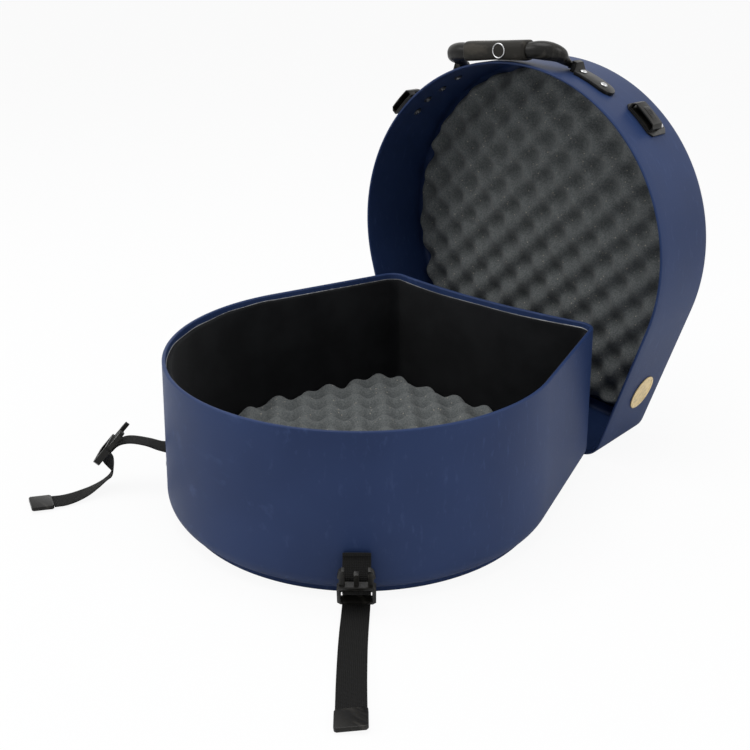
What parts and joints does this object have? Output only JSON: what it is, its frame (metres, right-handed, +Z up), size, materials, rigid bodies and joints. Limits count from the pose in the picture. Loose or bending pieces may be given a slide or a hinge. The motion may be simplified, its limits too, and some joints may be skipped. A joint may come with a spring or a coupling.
{
  "type": "snare drum case",
  "caption": "Moulded D-shaped snare drum case: deep padded base, open padded lid, riveted webbing straps with side-release buckles, and a swinging carrying handle.",
  "frame": {"origin": "on the floor, at the centre of the round end of the base, in the plane of its flat underside", "axes": "+Z up; +Y towards the flat end of the base, behind which the lid stands; +X to the right seen from the round end"},
  "size_m": [0.5185, 0.6631, 0.471],
  "materials": {
    "shell_plastic": "blue moulded plastic with a fine satin grain",
    "lining": "black felted lining",
    "foam": "open-cell grey foam",
    "webbing": "black woven webbing",
    "black_plastic": "black moulded plastic, satin",
    "grip_rubber": "soft black grip",
    "steel": "bright plated steel",
    "badge": "plain gold-coloured disc"
  },
  "bodies": {
    "base": {"base_shell": "shell_plastic", "base_wall_lining": "lining", "base_foam_pad": "foam", "front_strap_anchor": "webbing", "front_anchor_rivet_a": "steel", "front_anchor_rivet_a_washer": "steel", "front_anchor_rivet_b": "steel", "front_anchor_rivet_b_washer": "steel", "side_strap_anchor": "webbing", "side_anchor_rivet_a": "steel", "side_anchor_rivet_a_washer": "steel", "side_anchor_rivet_b": "steel", "side_anchor_rivet_b_washer": "steel"},
    "lid": {"lid_shell": "shell_plastic", "lid_foam_pad": "foam", "side_badge": "badge", "front_buckle_plate": "black_plastic", "front_female_buckle": "black_plastic", "front_buckle_rivet_a": "steel", "front_buckle_rivet_a_washer": "steel", "front_buckle_rivet_b": "steel", "front_buckle_rivet_b_washer": "steel", "side_buckle_plate": "black_plastic", "side_female_buckle": "black_plastic", "side_buckle_rivet_a": "steel", "side_buckle_rivet_a_washer": "steel", "side_buckle_rivet_b": "steel", "side_buckle_rivet_b_washer": "steel", "left_handle_plate": "black_plastic", "left_handle_rivet_a": "steel", "left_handle_rivet_a_washer": "steel", "left_handle_rivet_b": "steel", "left_handle_rivet_b_washer": "steel", "right_handle_plate": "black_plastic", "right_handle_rivet_a": "steel", "right_handle_rivet_a_washer": "steel", "right_handle_rivet_b": "steel", "right_handle_rivet_b_washer": "steel"},
    "handle": {"handle_core": "black_plastic", "handle_grip": "grip_rubber", "handle_medallion": "steel"},
    "front_strap": {"front_strap_webbing": "webbing", "front_strap_tip": "black_plastic", "front_male_buckle": "black_plastic"},
    "side_strap": {"side_strap_webbing": "webbing", "side_strap_tip": "black_plastic", "side_male_buckle": "black_plastic"}
  },
  "joints": [
    {"name": "lid_swing", "type": "hinge", "parent": "base", "child": "lid", "pos_m": [0, 0.15685, 0.07635], "axis": [1, 0, 0], "range_deg": [0, 90]},
    {"name": "handle_swing", "type": "hinge", "parent": "lid", "child": "handle", "pos_m": [-0.01585, 0.2855, 0.43919], "axis": [-0.9971, 0, -0.0767], "range_deg": [0, 120]},
    {"name": "front_strap_swing", "type": "hinge", "parent": "base", "child": "front_strap", "pos_m": [0.14302, -0.16165, 0.0512], "axis": [-0.749, -0.6626, 0], "range_deg": [0, 70]},
    {"name": "side_strap_swing", "type": "hinge", "parent": "base", "child": "side_strap", "pos_m": [-0.16185, -0.14069, 0.0512], "axis": [-0.6561, 0.7547, 0], "range_deg": [0, 55]}
  ]
}
